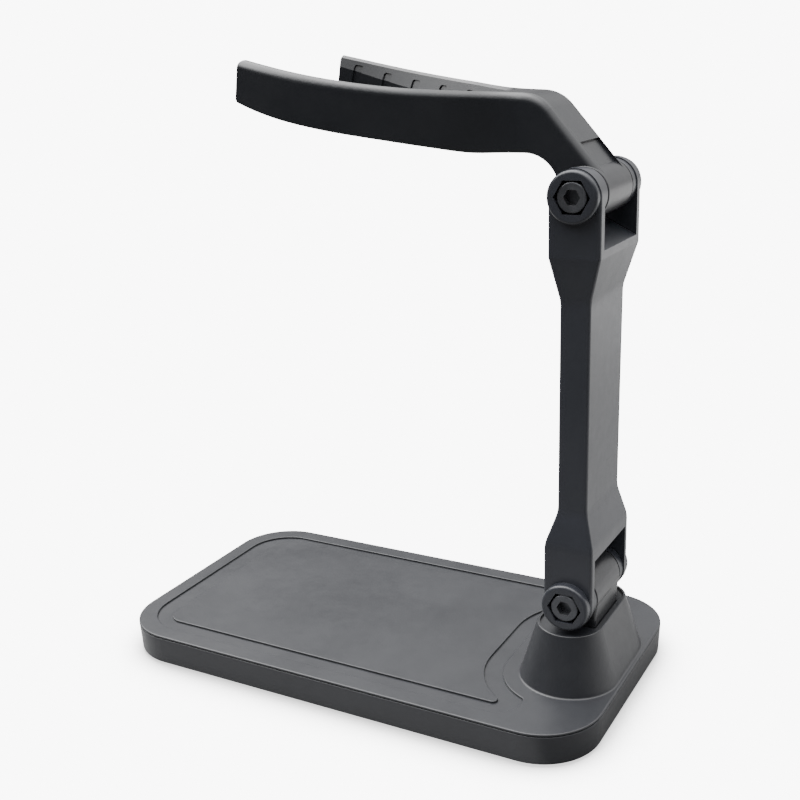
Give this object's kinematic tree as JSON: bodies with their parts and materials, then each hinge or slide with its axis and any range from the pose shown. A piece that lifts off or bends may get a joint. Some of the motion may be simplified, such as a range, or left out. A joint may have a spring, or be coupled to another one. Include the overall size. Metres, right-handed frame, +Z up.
{
  "type": "book scanner stand",
  "caption": "Hands-free overhead scanner stand: weighted flat base, pedestal, folding arm on two friction hinges and a tong-shaped fork that cradles the scanner.",
  "frame": {"origin": "centre of the base footprint at the soles of the feet, on the desk", "axes": "+Z up; the pedestal and arm stand near the +X end, the fork reaches towards -X over the book; the hinge pins lie along Y"},
  "size_m": [0.2, 0.112, 0.2329],
  "materials": {
    "cover_plastic": "fine-textured satin black ABS",
    "tray_plastic": "satin black ABS",
    "block_plastic": "satin black nylon",
    "arm_plastic": "fine-textured satin black ABS",
    "fork_plastic": "fine-textured satin black ABS",
    "ballast_steel": "plain cold-rolled steel",
    "black_steel": "black-oxide steel",
    "zinc_steel": "bright zinc-plated steel",
    "washer_nylon": "black nylon",
    "foot_rubber": "soft matt black silicone rubber"
  },
  "bodies": {
    "base": {"base_cover": "cover_plastic", "base_tray": "tray_plastic", "ballast_plate": "ballast_steel", "base_screws": "black_steel", "hinge_block": "block_plastic", "hinge_block_screws": "zinc_steel", "foot_left_front": "foot_rubber", "foot_left_rear": "foot_rubber", "foot_right_front": "foot_rubber", "foot_right_rear": "foot_rubber"},
    "arm": {"arm_link": "arm_plastic", "lower_hinge_screw": "black_steel", "lower_hinge_nut": "zinc_steel", "lower_friction_washer_near": "washer_nylon", "lower_friction_washer_far": "washer_nylon", "upper_hinge_screw": "black_steel", "upper_hinge_nut": "zinc_steel", "upper_friction_washer_near": "washer_nylon", "upper_friction_washer_far": "washer_nylon"},
    "fork": {"fork": "fork_plastic"}
  },
  "joints": [
    {"name": "lower_hinge", "type": "hinge", "parent": "base", "child": "arm", "pos_m": [0.08175, 0, 0.0444], "axis": [0, 1, 0], "range_deg": [-45, 45]},
    {"name": "upper_hinge", "type": "hinge", "parent": "arm", "child": "fork", "pos_m": [0.0831, 0, 0.1882], "axis": [0, 1, 0], "range_deg": [-85, 95]}
  ]
}
